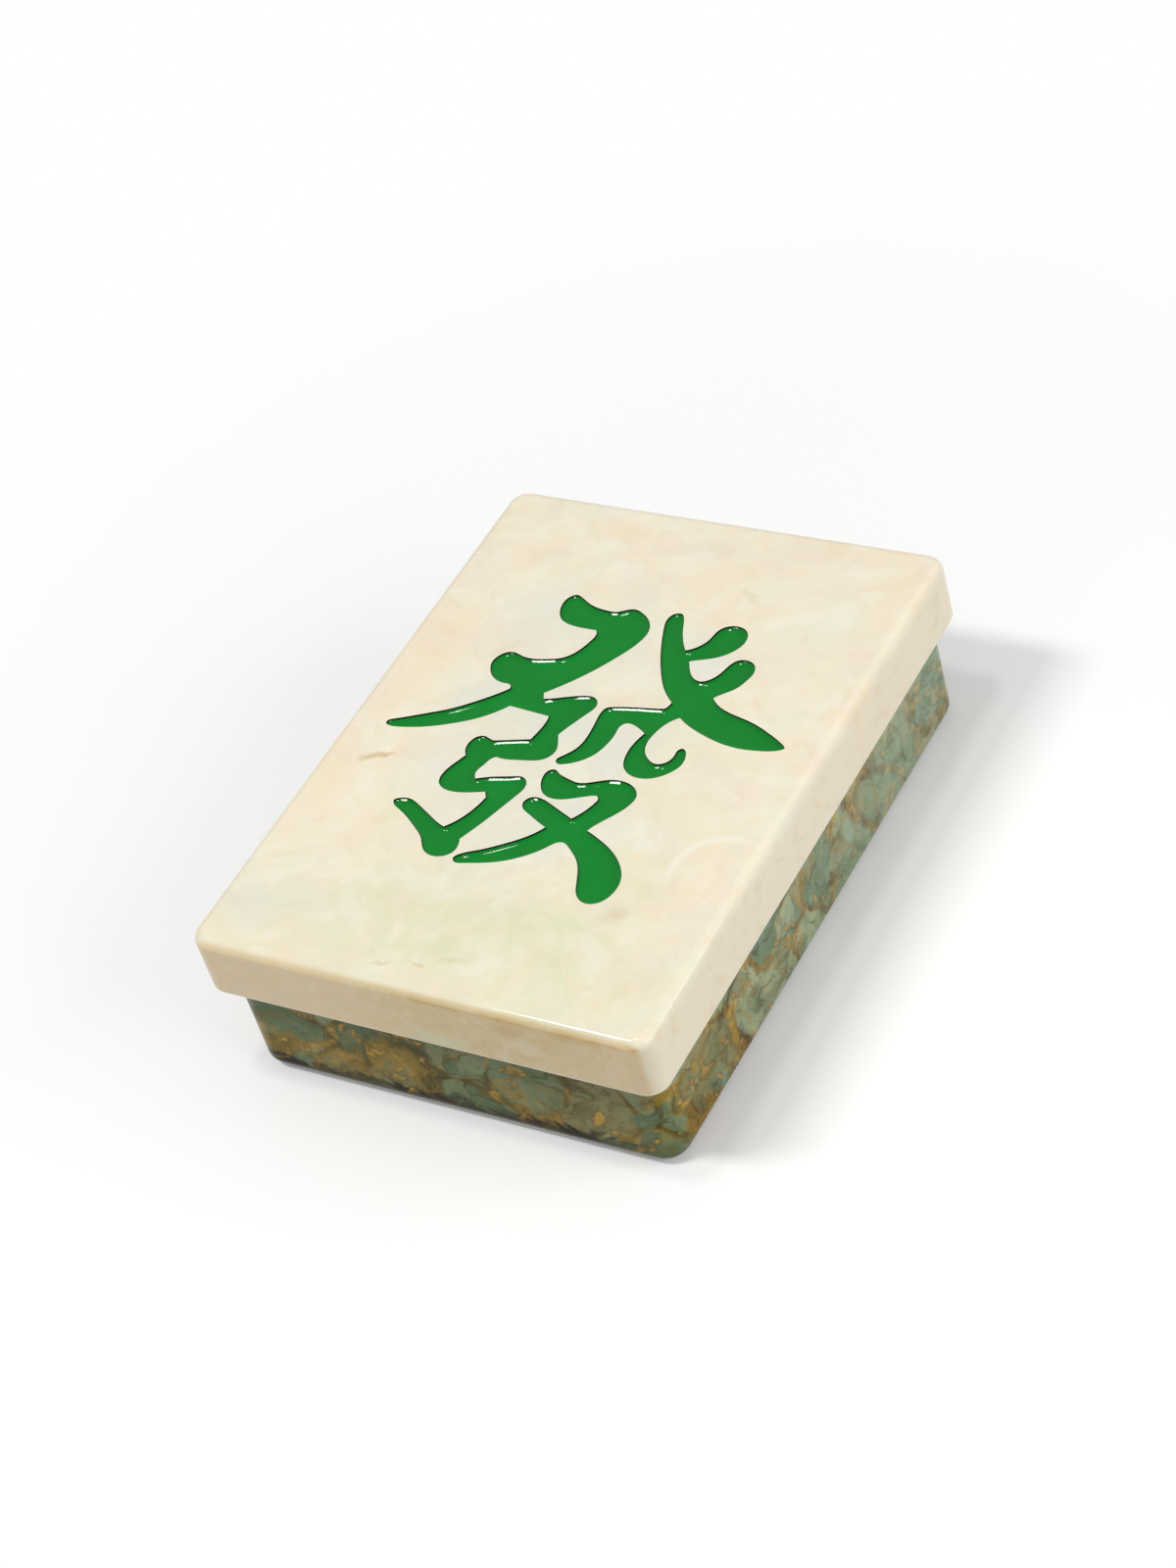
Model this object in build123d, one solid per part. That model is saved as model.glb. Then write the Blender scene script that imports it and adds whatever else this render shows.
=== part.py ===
"""A mahjong case: a marbled box with a drop-over lid, a lift-out tray and wells for the tiles.

Frame: the origin lies under the middle of the case, on the surface that its feet stand on.
+X runs along the short side, +Y along the long side towards the top of the figure, +Z is up.
All sizes are in millimetres.
"""
from build123d import *
import os

# --- Driving dimensions ---------------------------------------------------------------------

# Lid: a cast slab, hollow below, whose wall drops over the upper part of the base
lid_length = 300.0
lid_width = 223.0
lid_height = 32.0
lid_roof = 7.0
lid_wall = 6.0
lid_corner_radius = 9.5
lid_top_rounding = 5.0
lid_edge_rounding = 2.0
lid_lining_margin = 2.0

# Figure let into the top of the lid
figure_end_margin = 63.0
figure_side_margin = 18.8
figure_pocket_depth = 2.2
enamel_sink = 0.9

# Base: a cast box with a rounded foot edge
lid_edge_height = 53.5
base_wall = 6.0
base_floor = 7.0
base_corner_radius = 11.5
base_bottom_rounding = 6.0
base_rim_rounding = 1.2

# Feet under the base and soft pads on its rim
foot_diameter = 14.0
foot_height = 1.5
foot_inset = 24.0
rim_pad_length = 18.0
rim_pad_width = 3.2
rim_pad_height = 1.0

# Felt linings
lining_thickness = 1.2
wall_lining_drop = 3.0
tray_lining_thickness = 1.0

# Dividers that make the four tile wells, one for each 36 tiles stood on end
well_divider_thickness = 3.0
well_divider_height = 33.0

# Lift-out tray over the wells
tray_wall = 3.0
tray_floor = 3.0
tray_corner_radius = 5.0
tray_edge_rounding = 0.8
tray_divider_thickness = 2.5
tray_divider_drop = 2.0
tray_channel_width = 58.0
finger_notch_radius = 13.0

# Clearances
lid_fit_gap = 0.6
tray_fit_gap = 0.8
tray_headroom = 1.0
divider_end_gap = 0.3
halved_joint_gap = 0.2
lining_edge_gap = 0.5

# --- Sizes and levels that follow -----------------------------------------------------------

base_inset = lid_wall + lid_fit_gap
base_width = lid_width - 2 * base_inset
base_length = lid_length - 2 * base_inset
cavity_width = base_width - 2 * base_wall
cavity_length = base_length - 2 * base_wall
cavity_radius = max(base_corner_radius - base_wall, 0)
lined_width = cavity_width - 2 * lining_thickness
lined_length = cavity_length - 2 * lining_thickness

lid_top_z = lid_edge_height + lid_height
lid_ceiling_z = lid_top_z - lid_roof
base_rim_z = lid_ceiling_z - rim_pad_height
cavity_floor_z = foot_height + base_floor
well_floor_z = cavity_floor_z + lining_thickness
tray_bottom_z = well_floor_z + well_divider_height
tray_floor_z = tray_bottom_z + tray_floor
tray_top_z = lid_ceiling_z - lining_thickness - tray_headroom
tray_width = lined_width - 2 * tray_fit_gap
tray_length = lined_length - 2 * tray_fit_gap
tray_inner_width = tray_width - 2 * tray_wall
tray_inner_length = tray_length - 2 * tray_wall
tray_inner_radius = max(tray_corner_radius - tray_wall, 0)
tray_divider_top_z = tray_top_z - tray_divider_drop
pocket_floor_z = lid_top_z - figure_pocket_depth
enamel_top_z = lid_top_z - enamel_sink

# --- Figure: the green dragon of a tile, as three islands of brush strokes ---------------------
# Each island is a chain of runs. A run is a smooth curve, or a straight line where it has one
# point, that starts where the run before it ended. Where two runs meet, the outline has a
# corner. The drawing's units are scaled to the lid by the two figure margins.

LEFT_ISLAND = [
    # round the head of the first stroke, over its shoulder and down the long sweep
    [(-24.6, 67.4), (-32.9, 67.3), (-39.3, 68.2), (-44.4, 70.6), (-47.2, 74.4), (-48.7, 80.0),
     (-47.7, 84.6), (-45.0, 86.9), (-41.5, 85.9), (-34.3, 82.1), (-26.0, 80.5), (-20.7, 80.8),
     (-17.3, 82.7), (-13.6, 84.1), (-8.6, 82.6), (-3.6, 78.9), (-0.4, 73.2), (-0.7, 66.4),
     (-5.7, 55.0), (-15.0, 40.4), (-28.6, 24.8)],
    [(-27.0, 21.4)],
    # the bow's first bar and its turn
    [(-18.0, 24.6), (-9.3, 27.6), (-6.0, 27.9), (-2.1, 25.8), (-1.0, 22.4), (-2.6, 17.8),
     (-6.2, 10.2), (-9.3, 2.3)],
    [(-6.6, -2.9), (-5.5, -7.0), (-6.8, -11.2), (-10.0, -13.9), (-18.0, -15.9), (-26.0, -17.2),
     (-30.0, -16.9)],
    [(-32.0, -18.8), (-33.0, -22.0), (-34.5, -27.5), (-33.7, -29.9), (-32.8, -31.2)],
    # the bow's last bar, down to its foot
    [(-25.0, -28.0), (-17.0, -25.8), (-12.9, -25.0), (-9.6, -26.8), (-8.2, -30.4), (-9.5, -36.0),
     (-17.1, -56.4), (-21.3, -65.7)],
    # round the foot, out to the flick's tip and back to its inner corner
    [(-20.0, -69.6), (-20.2, -73.0), (-23.0, -76.3), (-29.0, -77.7), (-34.0, -75.5),
     (-38.2, -70.1), (-45.0, -64.3), (-57.1, -56.6), (-61.4, -54.0), (-62.4, -52.0),
     (-60.3, -50.3), (-55.7, -49.5), (-51.0, -51.2), (-42.9, -55.6), (-32.1, -60.8)],
    [(-29.0, -57.3), (-25.0, -50.0), (-22.4, -40.4)],
    [(-24.4, -37.4)],
    # the bow's back
    [(-30.0, -39.2), (-38.6, -40.9), (-44.6, -40.0), (-48.2, -36.8), (-49.0, -32.5),
     (-47.6, -26.5), (-44.4, -19.3)],
    [(-46.6, -15.4), (-46.8, -11.2), (-44.8, -7.4), (-41.8, -6.4), (-39.0, -7.2), (-36.3, -7.9)],
    [(-20.2, -3.1)],
    [(-19.1, 3.0), (-18.7, 8.5), (-19.2, 11.9)],
    [(-40.0, 13.6)],
    # the long tail to the left and back
    [(-43.0, 9.9), (-50.5, 3.1), (-60.7, -2.9), (-75.0, -8.7), (-84.0, -10.7), (-88.6, -11.0),
     (-91.2, -9.8), (-91.2, -8.2), (-89.3, -6.8), (-85.0, -4.7), (-75.0, 0.6), (-66.4, 5.3),
     (-59.3, 10.6), (-52.0, 16.9), (-46.0, 23.0)],
    [(-45.7, 24.5), (-48.0, 26.3)],
    # round the head of the second stroke and up the sweep's inner side
    [(-52.4, 26.5), (-56.5, 28.2), (-60.6, 32.5), (-62.4, 38.2), (-60.9, 42.4), (-57.6, 45.2),
     (-54.0, 45.3), (-50.0, 44.1), (-44.5, 43.7), (-37.9, 45.0), (-31.0, 47.7), (-26.5, 53.0),
     (-23.9, 60.0), (-23.2, 64.6), (-24.6, 67.4)],
]

RIGHT_ISLAND = [
    # up the stem, round its head and down its outer side
    [(22.0, 64.8), (17.9, 70.7), (14.6, 77.2), (12.3, 82.8), (9.3, 86.3), (6.2, 85.4),
     (4.5, 82.0), (5.5, 76.0), (10.0, 64.3), (19.3, 46.4), (25.0, 38.6), (28.5, 35.2),
     (31.2, 33.0)],
    [(30.9, 30.8), (29.8, 28.7)],
    # the left leg
    [(20.0, 26.9), (7.1, 24.3), (3.9, 22.8), (2.9, 19.5), (3.4, 13.0), (4.0, 5.0), (3.5, -0.8),
     (1.6, -5.3), (-1.6, -9.4), (-2.8, -11.8), (-1.2, -13.8), (1.8, -13.5), (7.5, -10.4),
     (12.5, -4.9), (15.2, 3.0), (15.6, 10.0), (15.6, 14.0), (17.2, 16.0), (21.0, 16.1),
     (28.3, 12.5)],
    # the right leg and its hook
    [(26.6, 6.5), (26.4, -1.8), (28.6, -8.2), (33.0, -11.9), (38.0, -13.0), (44.0, -11.8),
     (50.0, -7.2), (53.2, -1.2), (52.6, 4.4), (50.8, 7.3), (49.0, 8.0), (47.7, 6.8), (47.5, 3.5),
     (46.0, -1.2), (42.0, -3.3), (37.5, -1.6), (34.0, 1.9), (32.2, 7.0), (32.6, 13.0),
     (35.0, 20.0), (39.3, 25.0)],
    # the long stroke falling to the right
    [(44.5, 21.8), (54.0, 17.8), (64.3, 14.9), (74.0, 14.0), (83.5, 15.0), (90.7, 17.2),
     (92.6, 18.9), (90.5, 21.1), (82.1, 25.7), (75.0, 28.9), (67.9, 31.1), (60.0, 33.0),
     (53.5, 35.6), (48.3, 39.9)],
    # the lower dot
    [(51.4, 43.4), (55.3, 47.4), (58.0, 53.5), (58.9, 58.8), (57.0, 63.2), (52.9, 65.2),
     (48.6, 64.4), (46.3, 61.4), (44.6, 55.9), (41.5, 50.3), (38.0, 48.2), (34.5, 48.9),
     (30.5, 52.7), (27.0, 58.6)],
    # the upper dot
    [(30.0, 60.1), (36.0, 62.6), (42.3, 67.3), (45.8, 73.0), (46.2, 78.2), (43.6, 82.7),
     (38.6, 84.5), (33.6, 83.1), (30.8, 79.7), (29.6, 73.7), (26.6, 68.3), (22.0, 64.8)],
]

LOWER_ISLAND = [
    # round the head of the crossing stroke
    [(21.1, -42.3), (17.0, -40.6), (8.0, -36.7), (1.2, -34.6), (-2.6, -35.3), (-4.5, -38.3),
     (-3.4, -41.6), (1.0, -44.4), (6.5, -47.2), (12.3, -49.9)],
    # the left tail, the fork and the right foot
    [(7.8, -56.0), (-1.8, -64.0), (-10.3, -69.6), (-17.3, -74.0), (-18.6, -76.3), (-17.3, -78.2),
     (-13.0, -78.1), (-3.6, -75.5), (5.0, -71.9), (13.0, -66.3), (18.8, -60.2), (21.3, -57.1),
     (24.1, -56.0), (28.5, -58.3), (34.2, -63.1), (38.4, -69.2), (41.9, -77.3), (44.6, -82.0),
     (50.5, -85.2), (56.2, -83.0), (59.3, -77.1), (59.3, -70.0), (55.6, -62.7), (47.9, -55.4),
     (41.0, -51.3), (31.3, -47.0)],
    # up the outer side, over the back and round the upper stroke's head
    [(33.6, -42.6), (38.8, -35.3), (42.2, -28.8), (42.8, -23.4), (40.0, -19.2), (34.8, -16.7),
     (29.0, -16.5), (22.8, -18.6), (18.0, -21.0), (13.5, -22.1), (8.0, -21.0), (2.6, -19.0),
     (-0.4, -17.4), (-3.0, -18.9), (-3.6, -22.0), (-1.6, -28.3), (2.4, -32.4), (8.2, -33.6),
     (14.0, -32.1), (22.0, -28.3), (25.6, -27.4), (27.1, -29.9)],
    [(25.3, -35.3), (21.1, -42.3)],
]

ISLANDS = {"green_inlay_left": LEFT_ISLAND, "green_inlay_right": RIGHT_ISLAND,
           "green_inlay_lower": LOWER_ISLAND}


def figure_scale():
    """The largest scale that keeps the figure inside both margins of the lid's face."""
    points = [point for island in ISLANDS.values() for run in island for point in run]
    drawn_width = max(abs(x) for x, y in points) * 2
    drawn_length = max(abs(y) for x, y in points) * 2
    width_scale = (lid_width - 2 * figure_side_margin) / drawn_width
    length_scale = (lid_length - 2 * figure_end_margin) / drawn_length
    return min(width_scale, length_scale)


def island_face(runs):
    """The flat outline of one island, at the level of the lid's top."""
    scale = figure_scale()
    edges = []
    start = None
    for run in runs:
        points = [(scale * x, scale * y, lid_top_z) for x, y in run]
        if start is not None:
            points = [start] + points
        edges.append(Line(*points) if len(points) == 2 else Spline(*points))
        start = points[-1]
    return make_face(Wire(edges))


# --- Building blocks ----------------------------------------------------------------------------

def slab(width, length, radius, bottom_z, top_z):
    """A flat-sided block with round vertical corners, centred on the Z axis."""
    outline = RectangleRounded(width, length, radius) if radius > 0 else Rectangle(width, length)
    return Pos(0, 0, bottom_z) * extrude(outline, top_z - bottom_z)


def top_edges(solid):
    return solid.edges().group_by(Axis.Z)[-1]


def bottom_edges(solid):
    return solid.edges().group_by(Axis.Z)[0]


def sheet(width, length, bottom_z, thickness, x=0.0, y=0.0):
    """A plain rectangular sheet or board lying flat, with its centre at x, y."""
    return Pos(x, y, bottom_z) * extrude(Rectangle(width, length), thickness)


# --- Base ---------------------------------------------------------------------------------------

def base_shell():
    """The cast box: round corners, a rounded foot edge and a softened rim."""
    outer = slab(base_width, base_length, base_corner_radius, foot_height, base_rim_z)
    outer = fillet(bottom_edges(outer), base_bottom_rounding)
    cavity = slab(cavity_width, cavity_length, cavity_radius, cavity_floor_z, base_rim_z)
    shell = outer - cavity
    return fillet(top_edges(shell), base_rim_rounding)


def foot(side_x, side_y):
    x = side_x * (base_width / 2 - foot_inset)
    y = side_y * (base_length / 2 - foot_inset)
    return Pos(x, y, foot_height / 2) * Cylinder(foot_diameter / 2, foot_height)


def rim_pad(side_x, side_y):
    """A strip on the middle of one side of the rim, which the lid's ceiling rests on."""
    x = side_x * (base_width - base_wall) / 2
    y = side_y * (base_length - base_wall) / 2
    width, length = (rim_pad_width, rim_pad_length) if side_x else (rim_pad_length, rim_pad_width)
    return sheet(width, length, base_rim_z, rim_pad_height, x, y)


def floor_lining():
    """The felt on the base's floor, cut round the corners of the cavity."""
    return slab(cavity_width - 2 * lining_edge_gap, cavity_length - 2 * lining_edge_gap,
                cavity_radius, cavity_floor_z, well_floor_z)


def wall_lining(side_x, side_y):
    """The felt on one wall, from the floor's felt to just under the rim, between the corners."""
    x = side_x * (cavity_width - lining_thickness) / 2
    y = side_y * (cavity_length - lining_thickness) / 2
    run_x = cavity_width - 2 * (cavity_radius + lining_edge_gap)
    run_y = cavity_length - 2 * (cavity_radius + lining_edge_gap)
    width, length = (lining_thickness, run_y) if side_x else (run_x, lining_thickness)
    height = base_rim_z - wall_lining_drop - well_floor_z
    return sheet(width, length, well_floor_z, height, x, y)


def well_divider(along_y):
    """One of two boards that are halved into each other where they cross."""
    slot_width = well_divider_thickness + 2 * halved_joint_gap
    slot_height = well_divider_height / 2 + halved_joint_gap
    if along_y:
        board = sheet(well_divider_thickness, lined_length - 2 * divider_end_gap,
                      well_floor_z, well_divider_height)
        slot_z = tray_bottom_z - slot_height
    else:
        board = sheet(lined_width - 2 * divider_end_gap, well_divider_thickness,
                      well_floor_z, well_divider_height)
        slot_z = well_floor_z
    slot = sheet(slot_width, slot_width, slot_z, slot_height)
    return board - slot


# --- Tray ---------------------------------------------------------------------------------------

def tray_shell():
    """An open tray with a half-round finger notch in the top of each end wall."""
    outer = slab(tray_width, tray_length, tray_corner_radius, tray_bottom_z, tray_top_z)
    hollow = slab(tray_inner_width, tray_inner_length, tray_inner_radius,
                  tray_floor_z, tray_top_z)
    shell = outer - hollow
    shell = fillet(top_edges(shell), tray_edge_rounding)
    notch = Pos(0, 0, tray_top_z) * Rot(90, 0, 0) * Cylinder(finger_notch_radius, 2 * tray_length)
    return shell - notch


def tray_channel_edge_x():
    """The left face of the tray's long divider, the channel's width from the tray's left wall."""
    return -tray_inner_width / 2 + tray_channel_width


def tray_long_divider():
    x = tray_channel_edge_x() + tray_divider_thickness / 2
    return sheet(tray_divider_thickness, tray_inner_length, tray_floor_z,
                 tray_divider_top_z - tray_floor_z, x)


def tray_cross_divider():
    """The short divider, from the long divider to the tray's right wall."""
    left_x = tray_channel_edge_x() + tray_divider_thickness
    width = tray_inner_width / 2 - left_x
    return sheet(width, tray_divider_thickness, tray_floor_z,
                 tray_divider_top_z - tray_floor_z, left_x + width / 2)


def tray_lining(left_x, right_x, front_y, back_y):
    """The felt on the floor of one compartment, clear of its walls and their round corners."""
    felt = slab(right_x - left_x - 2 * lining_edge_gap, back_y - front_y - 2 * lining_edge_gap,
                tray_inner_radius, tray_floor_z, tray_floor_z + tray_lining_thickness)
    return Pos((left_x + right_x) / 2, (front_y + back_y) / 2, 0) * felt


def tray_linings():
    """The felts of the long channel and of the two wells beside it."""
    side_x = tray_inner_width / 2
    end_y = tray_inner_length / 2
    channel_x = tray_channel_edge_x()
    well_x = channel_x + tray_divider_thickness
    half_divider = tray_divider_thickness / 2
    return {"tray_lining_channel": tray_lining(-side_x, channel_x, -end_y, end_y),
            "tray_lining_front": tray_lining(well_x, side_x, -end_y, -half_divider),
            "tray_lining_back": tray_lining(well_x, side_x, half_divider, end_y)}


# --- Lid ----------------------------------------------------------------------------------------

def lid_shell():
    """The cast lid: hollow below, softened above, with the figure's pocket cut in its top."""
    outer = slab(lid_width, lid_length, lid_corner_radius, lid_edge_height, lid_top_z)
    outer = fillet(top_edges(outer), lid_top_rounding)
    outer = fillet(bottom_edges(outer), lid_edge_rounding)
    hollow = slab(base_width + 2 * lid_fit_gap, base_length + 2 * lid_fit_gap,
                  base_corner_radius + lid_fit_gap, lid_edge_height, lid_ceiling_z)
    shell = outer - hollow
    for runs in ISLANDS.values():
        shell -= extrude(island_face(runs), -figure_pocket_depth)
    return shell


def green_inlay(runs):
    """The enamel in one island's pocket, filled to just under the lid's face."""
    face = Pos(0, 0, enamel_top_z - lid_top_z) * island_face(runs)
    return extrude(face, pocket_floor_z - enamel_top_z)


def lid_lining():
    """The felt on the lid's ceiling, inside the base's rim."""
    return slab(cavity_width - 2 * lid_lining_margin, cavity_length - 2 * lid_lining_margin,
                cavity_radius, lid_ceiling_z - lining_thickness, lid_ceiling_z)


# --- Nodes --------------------------------------------------------------------------------------

def nodes():
    """Every piece of the case, by name."""
    pieces = {"base_shell": base_shell(), "base_floor_lining": floor_lining(),
              "well_divider_long": well_divider(True), "well_divider_cross": well_divider(False)}
    sides = {"front": (0, -1), "back": (0, 1), "left": (-1, 0), "right": (1, 0)}
    for side, (x, y) in sides.items():
        pieces["wall_lining_" + side] = wall_lining(x, y)
        pieces["rim_pad_" + side] = rim_pad(x, y)
    corners = {"front_left": (-1, -1), "front_right": (1, -1), "back_left": (-1, 1),
               "back_right": (1, 1)}
    for corner, (x, y) in corners.items():
        pieces["foot_" + corner] = foot(x, y)
    pieces["tray_shell"] = tray_shell()
    pieces["tray_divider_long"] = tray_long_divider()
    pieces["tray_divider_cross"] = tray_cross_divider()
    pieces.update(tray_linings())
    pieces["lid_shell"] = lid_shell()
    pieces["lid_lining"] = lid_lining()
    for name, runs in ISLANDS.items():
        pieces[name] = green_inlay(runs)
    return pieces


os.makedirs("parts", exist_ok=True)
for name, piece in nodes().items():
    export_step(piece, f"parts/{name}.step")
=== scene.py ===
from itertools import accumulate

import bpy
import numpy as np
from mathutils import Euler, Matrix, Vector
from mathutils.geometry import delaunay_2d_cdt


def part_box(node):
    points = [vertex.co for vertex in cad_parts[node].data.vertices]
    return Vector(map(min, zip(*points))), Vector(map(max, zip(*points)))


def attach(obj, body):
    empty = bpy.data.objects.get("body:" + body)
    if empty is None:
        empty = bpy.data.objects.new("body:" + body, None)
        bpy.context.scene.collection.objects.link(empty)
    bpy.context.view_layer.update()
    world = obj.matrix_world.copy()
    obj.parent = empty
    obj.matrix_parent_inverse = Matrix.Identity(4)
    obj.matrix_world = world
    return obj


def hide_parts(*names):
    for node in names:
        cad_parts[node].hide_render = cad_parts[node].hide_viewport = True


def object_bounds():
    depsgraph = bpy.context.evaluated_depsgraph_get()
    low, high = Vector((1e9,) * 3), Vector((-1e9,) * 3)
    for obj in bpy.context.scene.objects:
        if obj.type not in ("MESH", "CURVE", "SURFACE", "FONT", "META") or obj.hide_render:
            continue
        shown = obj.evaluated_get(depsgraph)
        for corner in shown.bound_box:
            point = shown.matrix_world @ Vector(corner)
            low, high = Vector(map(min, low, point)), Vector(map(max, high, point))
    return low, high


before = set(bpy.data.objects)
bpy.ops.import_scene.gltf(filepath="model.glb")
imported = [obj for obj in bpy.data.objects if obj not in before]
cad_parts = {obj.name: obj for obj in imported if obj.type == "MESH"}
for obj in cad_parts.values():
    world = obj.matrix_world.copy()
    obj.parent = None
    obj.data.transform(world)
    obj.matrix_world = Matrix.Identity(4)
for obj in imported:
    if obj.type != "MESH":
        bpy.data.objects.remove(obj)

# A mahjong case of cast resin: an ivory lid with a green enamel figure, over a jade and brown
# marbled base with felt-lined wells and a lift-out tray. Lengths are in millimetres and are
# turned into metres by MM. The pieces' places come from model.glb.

MM = 0.001
cad_low, cad_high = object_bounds()

# Keeps a logarithm or a division away from zero
TINY = 1e-9


# --- View and light ---------------------------------------------------------------------------

# The camera: its place, its turn in degrees about X, Y and Z, its lens and its sensor
CAMERA_PLACE = (734.8, -878.6, 1082.0)
CAMERA_TURN_DEG = (46.87, 13.15, 27.87)
CAMERA_LENS = 81.1
CAMERA_SENSOR = 36.0

# White, and how strongly the world lights the case with it
WHITE = (1.0, 1.0, 1.0, 1.0)
WORLD_STRENGTH = 0.38

# The floor: its width, its own grey, and how much of its shading shows near the case. That dies
# away to plain white between the two distances from the case's middle.
FLOOR_SIZE = 9000.0
FLOOR_GREY = (0.5, 0.5, 0.5, 1.0)
FLOOR_SHARE_LIT = 0.84
LIT_WITHIN = 200.0
WHITE_FROM = 600.0

# Soft boxes: the place, width and height in millimetres, and the power in watts
LIGHTS = [("overhead_box", (-130, -260, 2480), 240, 240, 7.0),
          ("strip_box", (-755, -864, 2200), 740, 300, 25.0),
          ("right_box", (1750, 130, 800), 1300, 1900, 18.0)]


def make_camera():
    """The camera stands in front of the near corner and above it, and is tilted a little."""
    lens = bpy.data.cameras.new("view_camera")
    lens.lens = CAMERA_LENS
    lens.sensor_width = CAMERA_SENSOR
    camera = bpy.data.objects.new("view_camera", lens)
    camera.location = Vector(CAMERA_PLACE) * MM
    camera.rotation_euler = Euler(np.radians(CAMERA_TURN_DEG))
    bpy.context.scene.collection.objects.link(camera)
    bpy.context.scene.camera = camera


def area_light(name, place, width, height, power):
    """A soft box that faces the case from its place, with its width as near X as it can lie."""
    data = bpy.data.lights.new(name, "AREA")
    data.shape = "RECTANGLE"
    data.size = width * MM
    data.size_y = height * MM
    data.energy = power
    light = bpy.data.objects.new(name, data)
    light.location = Vector(place) * MM
    back = (light.location - Vector((0, 0, cad_high.z))).normalized()
    along = (Vector((1, 0, 0)) - back * back.x).normalized()
    light.rotation_euler = Matrix((along, back.cross(along), back)).transposed().to_euler()
    bpy.context.scene.collection.objects.link(light)


# --- Finishes -----------------------------------------------------------------------------------

def srgb(red, green, blue):
    """A colour given as it looks, 0 to 255, as the linear colour that a shader takes."""
    part = np.array((red, green, blue)) / 255
    linear = np.where(part <= 0.04045, part / 12.92, ((part + 0.055) / 1.055) ** 2.4)
    return (*linear.tolist(), 1.0)


class Number:
    """A number in a finish. Python's operators on it add Math nodes."""

    def __init__(self, finish, socket):
        self.finish = finish
        self.socket = socket

    def __add__(self, other):
        return self.finish.math("ADD", self, other)

    def __sub__(self, other):
        return self.finish.math("SUBTRACT", self, other)

    def __rsub__(self, other):
        return self.finish.math("SUBTRACT", other, self)

    def __mul__(self, other):
        return self.finish.math("MULTIPLY", self, other)

    __radd__ = __add__
    __rmul__ = __mul__


def feed(tree, socket, value):
    """Links a socket to what should feed it, or sets its own value."""
    value = value.socket if isinstance(value, Number) else value
    if isinstance(value, bpy.types.NodeSocket):
        tree.links.new(value, socket)
    else:
        socket.default_value = value


def add_node(tree, kind, settings=(), inputs=()):
    """Adds a node: first its settings, then the values or links of its sockets."""
    node = tree.nodes.new(kind)
    for name, value in dict(settings).items():
        setattr(node, name, value)
    for key, value in dict(inputs).items():
        feed(tree, node.inputs[key], value)
    return node


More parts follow.
